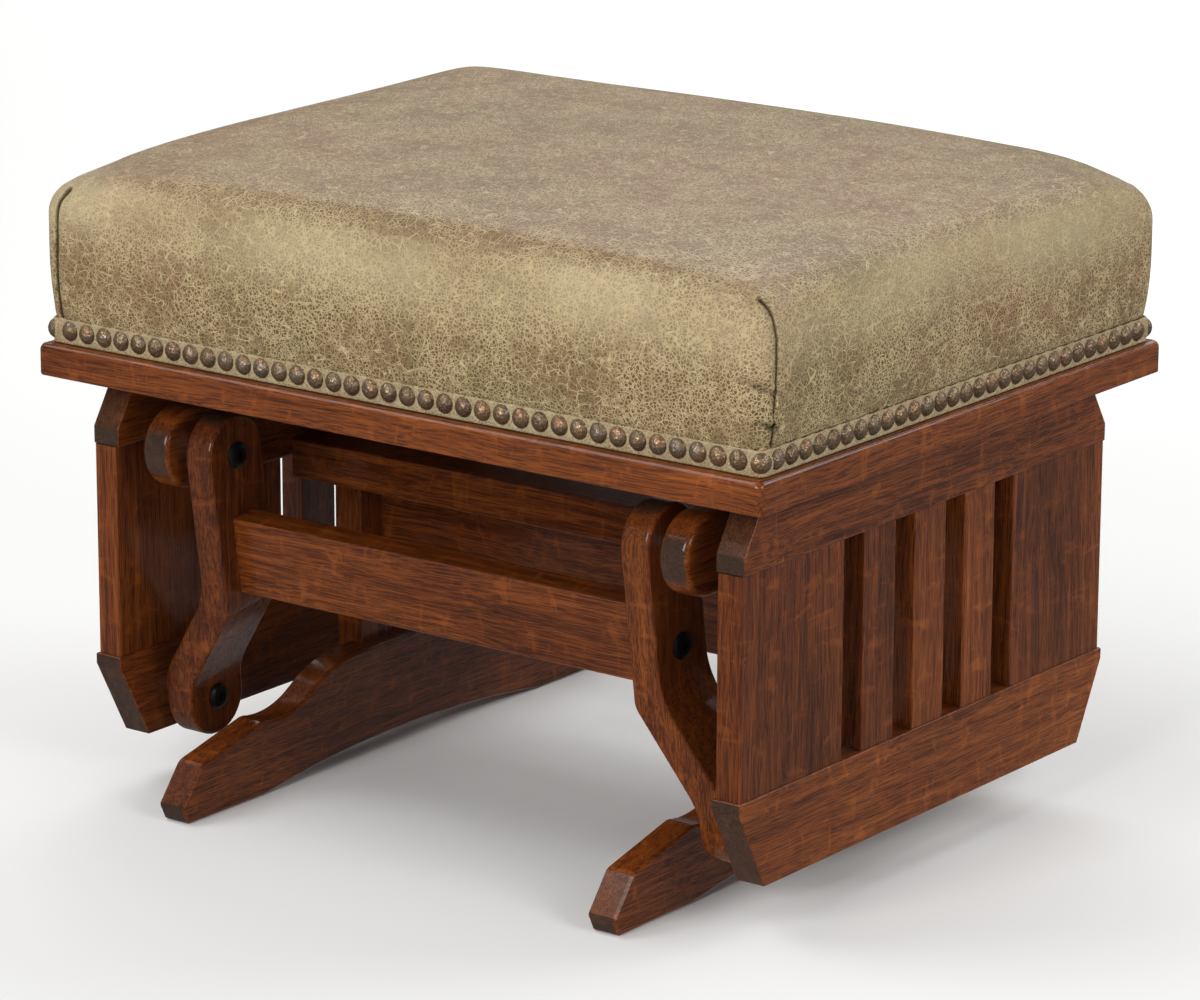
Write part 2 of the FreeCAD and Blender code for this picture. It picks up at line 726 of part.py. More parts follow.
def cushion():
    """Foam under leather as one solid: full sides, tucked in below, and a domed top."""
    made = body("cushion")
    sketch = new_sketch(made, "XY_Plane")
    loop(sketch, rounded_rectangle("cushion_half_x", "cushion_half_y", "cushion_corner"))
    pad(made, sketch, "cushion_top - cushion_bottom")
    crown = new_sketch(made, "XZ_Plane")
    top, reach = "cushion_top - cushion_bottom", "cushion_half_x + cushion_half_y"
    loop(crown, [
        (reach, f"{top} - (crown_radius - sqrt(crown_radius ^ 2 - ({reach}) ^ 2))",
         "crown_radius", 1),
        ("0", top), ("0", f"{top} + cushion_round"), (reach, f"{top} + cushion_round"),
    ])
    spin(made, crown, "V_Axis", kind="PartDesign::Groove")
    half_way = value("cushion_height - cushion_gap") / 2
    round_edges(made, "cushion_round", lambda edge: edge.BoundBox.ZMin > half_way)
    round_edges(made, "cushion_tuck", lambda edge: edge.BoundBox.ZMax < half_way)
    place(made, z="cushion_bottom")
    return keep(made)


def nail(name):
    """An upholstery nail along Z: the head's dome is above Z = 0, the shank below it."""
    made = body(name)
    profile = new_sketch(made, "XZ_Plane")
    dome = "((nail_head / 2) ^ 2 + nail_dome ^ 2) / (2 * nail_dome)"
    loop(profile, [
        ("0", "-nail_length"), ("nail_shank / 2", "-nail_length"), ("nail_shank / 2", "0"),
        ("nail_head / 2", "0", dome, 1), ("0", "nail_dome"),
    ])
    spin(made, profile, "V_Axis")
    return made


def nail_row(name, half_row, half_across, pitch, turn):
    """Nails at one pitch along a side of the band, as many as fit between its corners."""
    steps = f"floor(({half_row} - nail_corner_space) / {pitch})"
    made = nail(name)
    row = made.newObject("PartDesign::LinearPattern", f"{name}_pattern")
    row.Originals = [made.Tip]
    row.Direction = (origin_part(made, "X_Axis"), [""])
    bind(row, "Length", f"2 * {steps} * {pitch}")
    bind(row, "Occurrences", f"2 * {steps} + 1")
    made.Tip = row
    checked(row)
    start = {0: (f"-{steps} * {pitch}", f"-{half_across}"),
             90: (half_across, f"-{steps} * {pitch}"),
             180: (f"{steps} * {pitch}", half_across),
             270: (f"-{half_across}", f"{steps} * {pitch}")}[turn]
    place(made, *start, "nail_height", turn=str(turn), tilt="90")
    return keep(made)


def corner_nails():
    """One nail at the middle of each of the band's rounded corners."""
    out = "band_corner * (1 - cos(45))"
    made = []
    for number, (x_sign, y_sign, turn) in enumerate(
            [(1, -1, 45), (1, 1, 135), (-1, 1, 225), (-1, -1, 315)], 1):
        single = nail(f"corner_nail_{number}")
        place(single, f"{x_sign} * (band_half_x - {out})", f"{y_sign} * (band_half_y - {out})",
              "nail_height", turn=str(turn), tilt="90")
        made.append(single)
    group = doc.addObject("Part::Compound", "nails_corners")
    group.Label = "nails_corners"
    group.Links = made
    checked(group)
    return keep(group)


def deck_screws():
    """Pan-head screws from under the seat board into the deck, in a grid."""
    made = body("deck_screws")
    profile = new_sketch(made, "XZ_Plane")
    loop(profile, [
        ("0", "-screw_head_height"), ("screw_head / 2", "-screw_head_height"),
        ("screw_head / 2", "0"), ("screw_shank / 2", "0"),
        ("screw_shank / 2", "board + screw_bite"), ("0", "board + screw_bite"),
    ])
    spin(made, profile, "V_Axis")
    grid = made.newObject("PartDesign::LinearPattern", "deck_screws_pattern")
    grid.Originals = [made.Tip]
    grid.Direction = (origin_part(made, "X_Axis"), [""])
    grid.Direction2 = (origin_part(made, "Y_Axis"), [""])
    grid.Occurrences = 3
    grid.Occurrences2 = 2
    bind(grid, "Length", "2 * screw_spacing_x")
    bind(grid, "Length2", "screw_spacing_y")
    made.Tip = grid
    checked(grid)
    place(made, "-screw_spacing_x", "-screw_spacing_y / 2", "seat_underside")
    return keep(made)


# Assembly --------------------------------------------------------------------------------------

for side, (sign, turn) in SIDES.items():
    foot(side, sign, turn)
    upright(side, sign, turn)
    upper_rail(side, sign, turn)
    side_panel(side, sign, turn)
for end, sign in ENDS.items():
    cross_rail(end, sign)
    stretcher(end, sign)
    for side in SIDES:
        arm(end, side)
        pivots(end, side)
        stretcher_bolt(end, side)
centre_board()
seat_board()
seat_deck()
leather_band()
cushion()
nail_row("nails_front", "band_half_x", "band_half_y", "nail_pitch", 0)
nail_row("nails_right", "band_half_y", "band_half_x", "side_nail_pitch", 90)
nail_row("nails_rear", "band_half_x", "band_half_y", "nail_pitch", 180)
nail_row("nails_left", "band_half_y", "band_half_x", "side_nail_pitch", 270)
corner_nails()
deck_screws()

doc.recompute()
for item in doc.Objects:
    if "Invalid" in item.State or "Error" in item.State:
        raise RuntimeError(f"{item.Label}: {item.State}")
for item in nodes:
    if item.Shape.isNull() or not item.Shape.isValid():
        raise RuntimeError(f"{item.Label}: the shape is null or not valid")

os.makedirs("parts", exist_ok=True)
for item in nodes:
    item.Shape.exportStep(f"parts/{item.Label}.step")
print(f"{len(nodes)} nodes, {sum(len(item.Shape.Solids) for item in nodes)} solids")
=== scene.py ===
# %% [markdown]
# # A glider ottoman in stained oak and crackled leather
# The ottoman has three jobs: two sled feet carry a frame, four S-shaped arms hang the seat from that
# frame, and a leather cushion sits on the seat board. The wooden and metal pieces come from the
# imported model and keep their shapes. This lesson gives each of them its finish, and builds the
# soft pieces anew: the cushion with its folded corners and the leather band under the nails.

import bmesh
import bpy
import math
from mathutils import Matrix, Vector, bvhtree, kdtree


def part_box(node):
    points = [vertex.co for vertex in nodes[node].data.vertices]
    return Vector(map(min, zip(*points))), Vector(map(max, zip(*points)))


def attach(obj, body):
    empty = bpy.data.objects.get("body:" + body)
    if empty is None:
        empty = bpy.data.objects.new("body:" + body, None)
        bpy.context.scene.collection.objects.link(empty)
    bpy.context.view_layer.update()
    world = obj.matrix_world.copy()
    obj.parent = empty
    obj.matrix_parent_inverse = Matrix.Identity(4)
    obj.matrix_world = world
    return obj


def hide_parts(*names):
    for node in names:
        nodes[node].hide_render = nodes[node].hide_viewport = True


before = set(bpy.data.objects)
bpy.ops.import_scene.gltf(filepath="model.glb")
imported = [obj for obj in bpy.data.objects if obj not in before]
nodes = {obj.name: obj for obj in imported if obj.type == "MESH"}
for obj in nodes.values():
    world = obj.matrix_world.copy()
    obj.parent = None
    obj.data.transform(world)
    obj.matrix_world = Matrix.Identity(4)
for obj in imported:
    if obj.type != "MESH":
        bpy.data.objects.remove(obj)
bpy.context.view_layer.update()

# %% [markdown]
# ## The camera
# The camera looks down at the front right corner with a long lens, from about three and a half
# metres, so parallel edges almost stay parallel. A constraint could aim it at the seat, but would
# also take away its slight lean. So its three angles are turned into the camera's own axes, and one
# matrix puts these axes in their place without rounding anything.

# %% Camera
CAMERA_ANGLES = (36.811, 15.35, 0.19)     # round to the right, up, and leaning over, in degrees
CAMERA_PLACE = (1.953, -2.610, 1.0864)
CAMERA_LENS = 159.33


def camera_axes(azimuth, elevation, roll):
    """Right, up and back of a camera that looks at the object from these angles, in degrees."""
    turn, lift, lean = (math.radians(angle) for angle in (azimuth, elevation, roll))
    back = Vector((math.sin(turn) * math.cos(lift), -math.cos(turn) * math.cos(lift),
                   math.sin(lift)))
    level = Vector((math.cos(turn), math.sin(turn), 0))
    upright = back.cross(level)
    right = math.cos(lean) * level + math.sin(lean) * upright
    return right, math.cos(lean) * upright - math.sin(lean) * level, back


camera = bpy.data.objects.new("camera", bpy.data.cameras.new("camera"))
bpy.context.scene.collection.objects.link(camera)
axes = Matrix(camera_axes(*CAMERA_ANGLES)).transposed().to_4x4()
camera.matrix_world = Matrix.Translation(CAMERA_PLACE) @ axes
camera.data.lens = CAMERA_LENS
bpy.context.scene.camera = camera
print("camera", [round(part, 3) for part in camera.location], "lens", camera.data.lens)

# %% [markdown]
# ## Building materials from nodes
# Every finish below is a small network of nodes. It could be wired by hand in the editor, but a few
# helpers keep it readable and repeatable: `paint` turns a colour as seen on a screen into the linear
# colour that a shader wants, and `add` makes a node and fills its sockets, with a plain value or
# with another node's output. `cloud` and `graded` are the two nodes that every finish starts with.

# %% Node helpers
def paint(red, green, blue):
    """A screen colour from 0 to 255 as a linear shader colour."""
    parts = (part / 255 for part in (red, green, blue))
    return tuple(part / 12.92 if part < 0.04045 else ((part + 0.055) / 1.055) ** 2.4
                 for part in parts) + (1,)


def wire(tree, value, socket):
    if isinstance(value, bpy.types.NodeSocket):
        tree.links.new(value, socket)
    else:
        socket.default_value = value


def add(tree, kind, *values, **settings):
    """A node of one kind. Values fill its sockets in order; a setting is a property of the node,
    or a socket with its spaces as underscores."""
    made = tree.nodes.new("ShaderNode" + kind)
    for word, value in settings.items():
        if hasattr(made, word):
            setattr(made, word, value)
        else:
            wire(tree, value, made.inputs[word.replace("_", " ")])
    for value, socket in zip(values, made.inputs):
        wire(tree, value, socket)
    return made


def cloud(tree, vector, scale=1.0, detail=2.0, roughness=0.5, distortion=0.0):
    """A soft noise from 0 to 1."""
    return add(tree, "TexNoise", Vector=vector, Scale=scale, Detail=detail, Roughness=roughness,
               Distortion=distortion).outputs[0]


def graded(tree, value, *stops):
    """A colour ramp; a stop is (place, colour)."""
    made = add(tree, "ValToRGB", value)
    ramp = made.color_ramp
    while len(ramp.elements) < len(stops):
        ramp.elements.new(0.5)
    for element, (place, colour) in zip(ramp.elements, stops):
        element.position, element.color = place, colour
    return made.outputs[0]


def finish_shader(name, **constants):
    """A material with one Principled shader. The constants go straight onto its sockets."""
    material = bpy.data.materials.new(name)
    material.use_nodes = True
    tree = material.node_tree
    tree.nodes.clear()
    shader = add(tree, "BsdfPrincipled")
    for word, value in constants.items():
        shader.inputs[word.replace("_", " ")].default_value = value
    tree.links.new(shader.outputs[0], add(tree, "OutputMaterial").inputs[0])
    return material, tree, shader


print("white paint as linear colour:", paint(255, 255, 255))

# %% [markdown]
# ## Floor
# The floor is a plain pale sheet, far larger than the view, with a tone that drifts by a few steps
# so that it doesn't look like paper. A curved backdrop would be the other way, but nothing here
# needs a horizon. The floor is kept out of reflections: its white mirror image would lie over the
# varnish as a grey-blue veil.

# %% Floor
FLOOR_HALF = 30
FLOOR_TONES = (paint(238, 238, 237), paint(243, 243, 242))


def floor_sheet():
    mesh = bmesh.new()
    bmesh.ops.create_grid(mesh, x_segments=8, y_segments=8, size=FLOOR_HALF)
    data = bpy.data.meshes.new("floor")
    mesh.to_mesh(data)
    mesh.free()
    made = bpy.data.objects.new("floor", data)
    bpy.context.scene.collection.objects.link(made)
    material, tree, shader = finish_shader("studio_floor", Roughness=0.9)
    where = add(tree, "TexCoord").outputs["Object"]
    tone = cloud(tree, where, scale=0.7)
    wire(tree, graded(tree, tone, *enumerate(FLOOR_TONES)), shader.inputs["Base Color"])
    data.materials.append(material)
    return made


floor = floor_sheet()
floor.visible_glossy = False
print("floor", [round(side) for side in floor.dimensions], "m")

# %% [markdown]
# ## Light
# The light is that of a product studio. It could come from one picture of a studio all round, but
# single panels can be moved and dimmed one by one. A key panel high on the left draws the sheen
# along the front edges, a wide one in front makes the wood glow, a fill stands on the right, and a
# low one behind draws the pale line on the edges that face right. One more panel lights only the
# floor behind the piece, to keep it nearly white, and a weak white sky opens up the shadows.

# %% Lights
SEAT_MIDDLE = (0, 0, 0.3)
SKY_STRENGTH = 0.22
# name: place, what it aims at, width, height, power in watts
PANELS = {
    "key_panel": ((-1.3, -0.9, 2.3), SEAT_MIDDLE, 1.7, 1.3, 26),
    "front_panel": ((0.1, -2.9, 1.5), SEAT_MIDDLE, 1.5, 1.1, 54),
    "right_panel": ((2.8, -0.6, 1.5), SEAT_MIDDLE, 1.3, 1.2, 31),
    "rear_panel": ((1.7, 1.9, 2.0), (0.9, 0.9, 0), 1.6, 1.2, 27),
    "floor_panel": ((-1.5, 3.2, 2.7), (-1.5, 3.2, 0), 4.6, 3.0, 120),
}


def panel_light(name, place, target, width, height, power):
    data = bpy.data.lights.new(name, "AREA")
    data.shape, data.size, data.size_y, data.energy = "RECTANGLE", width, height, power
    made = bpy.data.objects.new(name, data)
    bpy.context.scene.collection.objects.link(made)
    made.location = place
    aim = Vector(target) - Vector(place)
    made.rotation_mode = "QUATERNION"
    made.rotation_quaternion = aim.to_track_quat("-Z", "Y")
    return made


lights = [panel_light(name, *facts) for name, facts in PANELS.items()]
world = bpy.context.scene.world or bpy.data.worlds.new("studio")
bpy.context.scene.world = world
world.use_nodes = True
sky = world.node_tree.nodes["Background"].inputs
sky[0].default_value = (1, 1, 1, 1)
sky[1].default_value = SKY_STRENGTH
bpy.context.scene.view_settings.view_transform = "Standard"
print("lights", [light.name for light in lights])

# %% [markdown]
# ## More helpers, for figure and relief
# Wood and leather need patterns that are stretched, cut off at a level, laid over each other and
# pressed into the surface. Each of these takes one to three nodes. Written out every time they would
# hide the recipe, so each gets a short helper.

# %% Pattern helpers
def maths(tree, operation, *values):
    return add(tree, "Math", *values, operation=operation).outputs[0]


def stretched(tree, vector, *scales):
    return add(tree, "VectorMath", vector, scales, operation="MULTIPLY").outputs[0]


def shaken(tree, vector, noise, reach):
    """The vector, moved about by a coloured noise, by up to half the reach along each axis."""
    noise = add(tree, "VectorMath", noise, (0.5, 0.5, 0.5), operation="SUBTRACT").outputs[0]
    noise = stretched(tree, noise, *reach)
    return add(tree, "VectorMath", vector, noise, operation="ADD").outputs[0]


def between(tree, value, low, high, first=0.0, last=1.0):
    """The value carried from low..high to first..last, eased at both ends."""
    return add(tree, "MapRange", Value=value, From_Min=low, From_Max=high, To_Min=first,
               To_Max=last, interpolation_type="SMOOTHSTEP").outputs[0]


def mixed(tree, share, first, second):
    made = tree.nodes.new("ShaderNodeMix")
    made.data_type = "RGBA"
    for value, number in ((share, 0), (first, 6), (second, 7)):
        wire(tree, value, made.inputs[number])
    return made.outputs[2]


def bumped(tree, shader, height, distance):
    """Let a height from 0 to 1 stand out by a distance in metres."""
    bump = add(tree, "Bump", Height=height, Distance=distance, Strength=1.0)
    tree.links.new(bump.outputs[0], shader.inputs["Normal"])


print("pattern helpers ready")

# %% [markdown]
# ## Oak
# The boards are quartersawn white oak under a reddish brown stain and a satin lacquer. Four things
# make it read as oak: fine dark pores that run with the grain, broader bands of growth, lighter
# ray flecks that lie across the grain where the rays break the surface, and end grain that drinks
# more stain and turns grey-brown. A picture of wood wrapped round each board would show its seams.
# So the pattern is worked out in solid space, as in real wood: it runs through a board and meets
# its edges correctly. One node group holds it, and every board uses that group.

# %% Oak figure
# How often each pattern repeats in a metre, along the grain and twice across it.
DRIFT, DRIFT_REACH = (5, 14, 14), (0, 0.016, 0.016)
PORES, BANDS, FLECKS = (34, 1150, 1150), (5, 210, 210), (105, 36, 48)
FIBRES, PATCHES = (150, 2600, 2600), (5, 13, 13)
STAIN = ((0.08, paint(38, 15, 4)), (0.34, paint(84, 38, 11)),
         (0.58, paint(127, 65, 21)), (0.90, paint(176, 102, 41)))
END_STAIN = ((0.10, paint(36, 23, 15)), (0.85, paint(82, 58, 42)))


def oak_figure():
    tree = bpy.data.node_groups.new("oak_figure", "ShaderNodeTree")
    for name, kind in (("Grain", "Vector"), ("End", "Float"), ("Tone", "Float")):
        tree.interface.new_socket(name, in_out="INPUT", socket_type="NodeSocket" + kind)
    for name, kind in (("Colour", "Color"), ("Roughness", "Float"), ("Height", "Float")):
        tree.interface.new_socket(name, in_out="OUTPUT", socket_type="NodeSocket" + kind)
    given = tree.nodes.new("NodeGroupInput").outputs
    out = tree.nodes.new("NodeGroupOutput").inputs

    drift = add(tree, "TexNoise", Vector=stretched(tree, given["Grain"], *DRIFT), Scale=1.0,
                Detail=2.0).outputs["Color"]
    grain = shaken(tree, given["Grain"], drift, DRIFT_REACH)
    pores = cloud(tree, stretched(tree, grain, *PORES), detail=3, roughness=0.6)
    bands = cloud(tree, stretched(tree, grain, *BANDS), detail=3, roughness=0.62)
    flecks = cloud(tree, stretched(tree, grain, *FLECKS), detail=3, roughness=0.6, distortion=0.6)
    flecks = between(tree, flecks, 0.53, 0.70)
    fibres = cloud(tree, stretched(tree, grain, *FIBRES), detail=2)
    patches = cloud(tree, stretched(tree, given["Grain"], *PATCHES), detail=2)
    open_pores = maths(tree, "MULTIPLY_ADD", flecks, -0.75, 1.0)
    streak = maths(tree, "MULTIPLY", between(tree, pores, 0.45, 0.64), open_pores)

    lightness = given["Tone"]
    for pattern, weight in ((bands, 0.52), (flecks, 0.07), (fibres, 0.26), (patches, 0.34),
                            (streak, -0.19)):
        lightness = maths(tree, "MULTIPLY_ADD", pattern, weight, lightness)
    colour = mixed(tree, given["End"], graded(tree, lightness, *STAIN),
                   graded(tree, lightness, *END_STAIN))
    wire(tree, colour, out["Colour"])
    dull = between(tree, fibres, 0.2, 0.8, 0.34, 0.5)
    wire(tree, maths(tree, "MULTIPLY_ADD", streak, 0.12, dull), out["Roughness"])
    relief = maths(tree, "MULTIPLY_ADD", fibres, 0.25, maths(tree, "SUBTRACT", 0.7, streak))
    wire(tree, relief, out["Height"])
    return tree


figure = oak_figure()
print("oak figure:", len(figure.nodes), "nodes")

# %% [markdown]
# ## One board's own oak
# All boards come from the same kind of tree, but no two show the same figure. One shared material
# would let the pattern run on from board to board. So each board gets its own: it turns the figure
# along that board, cuts it from another place of the log and shifts its tone. Faces that look along
# the grain show end grain. The seat board has mitred borders, so there the grain turns at the mitre.

# %% Oak for one board
GRAIN = {"x": (0, 1, 2), "y": (1, 0, 2), "z": (2, 0, 1)}
PORE_DEPTH = 0.00025


def grain_space(tree, along):
    """Object coordinates with the grain first, and how squarely a face looks along the grain."""
    where = add(tree, "TexCoord")
    parts = add(tree, "SeparateXYZ", where.outputs["Object"]).outputs
    turned = add(tree, "CombineXYZ", *(parts[number] for number in GRAIN[along])).outputs[0]
    facing = add(tree, "SeparateXYZ", where.outputs["Normal"]).outputs[GRAIN[along][0]]
    return turned, maths(tree, "ABSOLUTE", facing), parts


def framed_space(tree, step):
    """A board with mitred borders: the grain turns where |x| - |y| passes the step."""
    across, facing_x, parts = grain_space(tree, "x")
    beside, facing_y, _ = grain_space(tree, "y")
    gap = maths(tree, "SUBTRACT", *(maths(tree, "ABSOLUTE", parts[axis]) for axis in (0, 1)))
    side = maths(tree, "GREATER_THAN", gap, step)
    return mixed(tree, side, across, beside), mixed(tree, side, facing_x, facing_y)


def oak(name, along, tone, cut_from, mitre=None):
    """Stained oak with its grain along one axis, cut from its own place of the log."""
    material, tree, shader = finish_shader(
        name, Coat_Weight=0.6, Coat_Roughness=0.14, Coat_IOR=1.45, Specular_IOR_Level=0.1)
    if mitre is None:
        turned, facing, _ = grain_space(tree, along)
    else:
        turned, facing = framed_space(tree, mitre)
    moved = add(tree, "VectorMath", turned, cut_from, operation="ADD").outputs[0]
    group = tree.nodes.new("ShaderNodeGroup")
    group.node_tree = figure
    wire(tree, moved, group.inputs["Grain"])
    wire(tree, between(tree, facing, 0.72, 0.93), group.inputs["End"])
    group.inputs["Tone"].default_value = tone
    wire(tree, group.outputs["Colour"], shader.inputs["Base Color"])
    wire(tree, group.outputs["Roughness"], shader.inputs["Roughness"])
    bumped(tree, shader, group.outputs["Height"], PORE_DEPTH)
    return material


print("grain can run along", ", ".join(GRAIN))

# %% [markdown]
# ## Dressing the boards
# The grain follows the length of each board, as a joiner would cut it: along X in the seat board
# and the pieces that cross the frame, along Y in the rails and feet, upright in posts, slats and
# arms. It could be worked out from each board's box, but a list is read and changed at a glance. The
# tone differs a little from one board to the next, because no two planks take stain alike, and the
# boards that face the light most are painted a little paler, as painted light.

# %% Dress the boards
BOARDS = {
    "x": ["seat_board", "stretcher_front", "stretcher_rear", "cross_rail_front",
          "cross_rail_rear", "centre_board"],
    "y": ["top_rail", "lower_rail", "upper_rail", "foot"],
    "z": ["front_stile", "rear_stile", "slat_front", "slat_middle", "slat_rear", "upright",
          "arm_front", "arm_rear"],
}
# Boards painted paler as painted light, because they face the light most.
PAINTED_LIGHT_BOARDS = ("seat_board", "stretcher_front", "stretcher_rear", "foot", "lower_rail")
TONES = (0.00, -0.05, 0.04, -0.02, 0.06, -0.07, 0.02)
STAIN_TAKEN, PAINTED_LIGHT_STAIN_TAKEN = 0.10, 0.06


def dress(name, material):
    """Give a node of the model this one material."""
    slots = nodes[name].data.materials
    slots.clear()
    slots.append(material)


dressed = 0
board_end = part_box("seat_board")[1]
for along, words in BOARDS.items():
    for word in words:
        for name in (word, f"{word}_left", f"{word}_right"):
            if name in nodes:
                # Painted light: these boards lose less tone, so they are painted paler.
                stain_less_painted_light = PAINTED_LIGHT_STAIN_TAKEN if word in PAINTED_LIGHT_BOARDS else STAIN_TAKEN
                cut_from = (0.37 * dressed, 0.11 * dressed, 0.7)
                mitre = board_end.x - board_end.y if name == "seat_board" else None
                tone = TONES[dressed % len(TONES)] - stain_less_painted_light
                dress(name, oak(f"oak_{name}", along, tone, cut_from, mitre))
                dressed += 1
print(dressed, "oak boards")

# %% [markdown]
# ## Plywood
# The deck under the cushion is plain plywood and hardly shows. It still gets its layers. A stack of
# thin sheets would show them too, with far more faces than such a hidden edge deserves, so they are
# counted from the height alone.

# %% Plywood
PLIES_PER_METRE = 300.0


def plywood():
    material, tree, shader = finish_shader("plywood", Roughness=0.7)
    where = add(tree, "TexCoord").outputs["Object"]
    height = add(tree, "SeparateXYZ", where).outputs[2]
    plies = maths(tree, "FRACT", maths(tree, "MULTIPLY", height, PLIES_PER_METRE))
    fibres = cloud(tree, stretched(tree, where, 30, 700, 700), detail=3)
    tone = maths(tree, "MULTIPLY_ADD", between(tree, plies, 0.45, 0.55), 0.3, fibres)
    wire(tree, graded(tree, tone, (0.3, paint(140, 105, 70)), (1.0, paint(205, 175, 130))),
         shader.inputs["Base Color"])
    bumped(tree, shader, fibres, 0.0002)
    return material


dress("seat_deck", plywood())
print("deck in plywood")

# %% [markdown]
# ## Antique brass nails
# The nails have hammered heads in antique brass: each head was struck and coloured by itself, so
# the tone changes from nail to nail while fine dents catch the light. A material for every nail
# would do it too. A noise that is wider than one head gives the same in one material, because the
# nails stand in different places of it. Where hands rub the heads, bare metal shows.

# %% Antique brass
def antique_brass():
    material, tree, shader = finish_shader("antique_brass", Metallic=0.85)
    where = add(tree, "TexCoord").outputs["Object"]
    each = cloud(tree, where, scale=62, detail=0)
    dents = add(tree, "TexVoronoi", Vector=where, Scale=520.0, feature="SMOOTH_F1",
                Smoothness=0.7).outputs["Distance"]
    wear_and_sheen = cloud(tree, where, scale=900, detail=3, roughness=0.65)
    base = graded(tree, each, (0.36, paint(116, 94, 76)), (0.46, paint(130, 108, 78)),
                  (0.54, paint(120, 108, 96)), (0.64, paint(138, 110, 84)))
    rubbed = between(tree, wear_and_sheen, 0.52, 0.68)
    colour = mixed(tree, maths(tree, "MULTIPLY", rubbed, 0.55), base, paint(205, 178, 140))
    dark = between(tree, wear_and_sheen, 0.34, 0.46, 0.55, 0.0)
    wire(tree, mixed(tree, dark, colour, paint(44, 34, 28)), shader.inputs["Base Color"])
    wire(tree, between(tree, wear_and_sheen, 0.3, 0.7, 0.62, 0.34), shader.inputs["Roughness"])
    bumped(tree, shader, maths(tree, "MULTIPLY_ADD", wear_and_sheen, 0.35, dents), 0.00045)
    return material


brass = antique_brass()
nail_rows = [name for name in nodes if name.startswith("nails")]
for name in nail_rows:
    dress(name, brass)
print("brass on", nail_rows)

# %% [markdown]
# ## Bolts, bearings and screws
# The button-head bolts are black oxide, and the bearings and screws bright zinc. Both are plain
# metals whose colour and gloss vary a little over a millimetre, so one function with two tones
# makes them. A flat colour would do from afar, but it looks like plastic close by.

# %% Black oxide and zinc
def plain_metal(name, dark, light, rough, metallic):
    """Metal with a fine uneven surface."""
    material, tree, shader = finish_shader(name, Metallic=metallic)
    where = add(tree, "TexCoord").outputs["Object"]
    grain = cloud(tree, where, scale=1400, detail=3, roughness=0.6)
    wire(tree, graded(tree, grain, (0.3, dark), (0.7, light)), shader.inputs["Base Color"])
    wire(tree, between(tree, grain, 0.3, 0.7, rough - 0.08, rough + 0.08),
         shader.inputs["Roughness"])
    bumped(tree, shader, grain, 0.00004)
    return material


black_oxide = plain_metal("black_oxide", paint(18, 18, 19), paint(38, 38, 40), 0.36, 0.7)
zinc = plain_metal("zinc", paint(120, 120, 118), paint(176, 175, 170), 0.38, 1.0)
hardware = {name: black_oxide for name in nodes if "bolt" in name}
hardware.update((name, zinc) for name in nodes if name.startswith("bearing"))
hardware["deck_screws"] = zinc
for name, metal in hardware.items():
    dress(name, metal)
print(len(hardware), "bolts, bearings and sets of screws")

# %% [markdown]
# ## Crackled leather: its net of lines
# The hide is waxed and then cracked by hand, which lifts the dark top colour off along a net of
# fine pale lines. A single noise makes blots, not lines. The edges of Voronoi cells do make a net,
# but one that looks drawn, so a noise bends the space first and no edge stays straight.

# %% Cell edges
def cell_edges(tree, where, scale, wander):
    """Distance to the nearest edge of cells whose edges are bent by noise."""
    bend = add(tree, "TexNoise", Vector=where, Scale=scale * 0.55, Detail=2.0).outputs["Color"]
    bent = shaken(tree, where, bend, [2 * wander / scale] * 3)
    return add(tree, "TexVoronoi", Vector=bent, Scale=scale,
               feature="DISTANCE_TO_EDGE").outputs["Distance"]


print("cell edges ready")

# %% [markdown]
# ## Crackled leather: painted sheen and tone by height
# The leather's colour changes by height. Over the shoulder of the cushion it is painted paler, as a
# painted highlight, on the flat top it goes browner, and towards the foot it is darker. This could
# be painted on by hand. The height above the floor says it as well, and a broad noise keeps the
# borders from running level.

# %% Painted sheen and tone by height
# The pale colour of the painted highlight over the shoulder.
SHOULDER_SHEEN_TONE = paint(202, 186, 150)


def painted_sheen_and_tone_by_height(tree, where, colour, dark, brown):
    """Painted highlight over the shoulder, browner leather on top, darker towards the foot."""
    height = add(tree, "SeparateXYZ", where).outputs[2]
    uneven = between(tree, cloud(tree, where, scale=6, detail=3), 0.36, 0.62, 0.5, 1.3)
    # Painted highlight: a pale band is painted over the shoulder.
    shoulder = maths(tree, "MULTIPLY", between(tree, height, 0.345, 0.388, 0.0, 0.38),
                     between(tree, height, 0.396, 0.412, 1.0, 0.0))
    colour = mixed(tree, maths(tree, "MULTIPLY", shoulder, uneven), colour, SHOULDER_SHEEN_TONE)
    top = between(tree, height, 0.400, 0.413, 0.0, 0.65)
    colour = mixed(tree, maths(tree, "MULTIPLY", top, uneven), colour, brown)
    return mixed(tree, between(tree, height, 0.310, 0.350, 0.3, 0.0), colour, dark)


print("painted sheen and tone ready")

# %% [markdown]
# ## Crackled leather: the whole finish
# Three nets lie over each other: small cells of about two millimetres, and two nets of long cracks
# that run in different directions. Their strength comes and goes over the hide. Between the lines
# stay small olive pebbles, darker in their middles, under large soft clouds of brown and khaki. The
# band under the nails is cut from a plainer, paler part of the hide. It could have a recipe of its
# own, but looks more of a piece with the same one, with a weaker net and no painted sheen or tone
# by height. In the deep folds of the corners the leather is painted nearly black, as painted shade:
# the mesh says where, with a number on each point.

# %% Leather
# Painted shade: the near-black colour painted into the deep folds and creases.
FOLD_PAINTED_SHADE = paint(40, 28, 16)
PEBBLES_PER_METRE = 430
CRACKS = ((150, 95, 125), (95, 185, 190))
PEBBLE_HEIGHT = 0.00022


